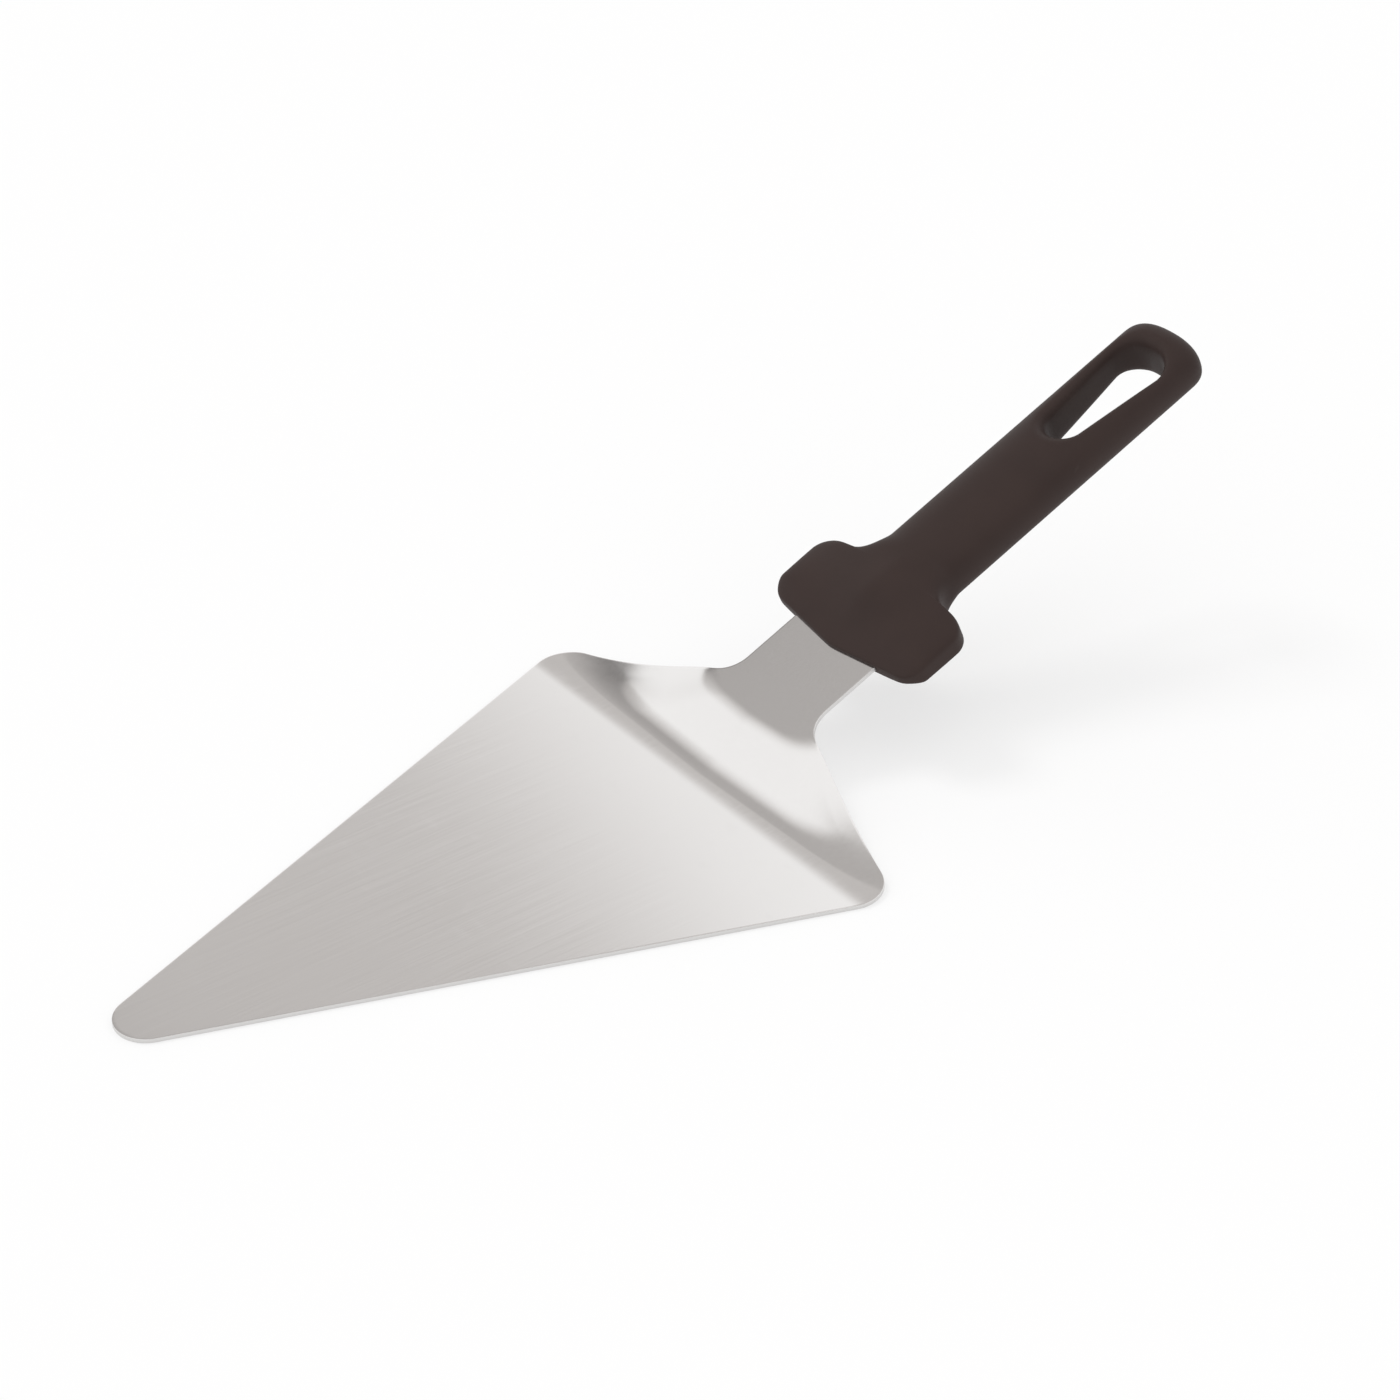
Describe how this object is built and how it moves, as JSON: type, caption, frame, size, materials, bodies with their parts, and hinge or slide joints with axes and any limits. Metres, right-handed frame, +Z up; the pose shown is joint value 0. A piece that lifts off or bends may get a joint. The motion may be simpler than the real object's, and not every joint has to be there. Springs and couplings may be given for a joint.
{
  "type": "pizza server",
  "caption": "Triangular pizza server: a pressed satin-steel blade, cranked up to a dark moulded handle with a finger guard and a hanging slot.",
  "frame": {"origin": "on the underside of the flat blade, on its centre line, 101.6 mm behind the tip", "axes": "+X from the blade's tip to the butt of the handle, +Y to the right of someone who holds the handle with the tip away from them, +Z up from the surface that the blade lies on"},
  "size_m": [0.2918, 0.12, 0.0691],
  "materials": {
    "steel": "satin stainless steel sheet",
    "plastic": "fine matte moulding"
  },
  "bodies": {
    "root": {"blade": "steel", "handle": "plastic"}
  },
  "joints": []
}
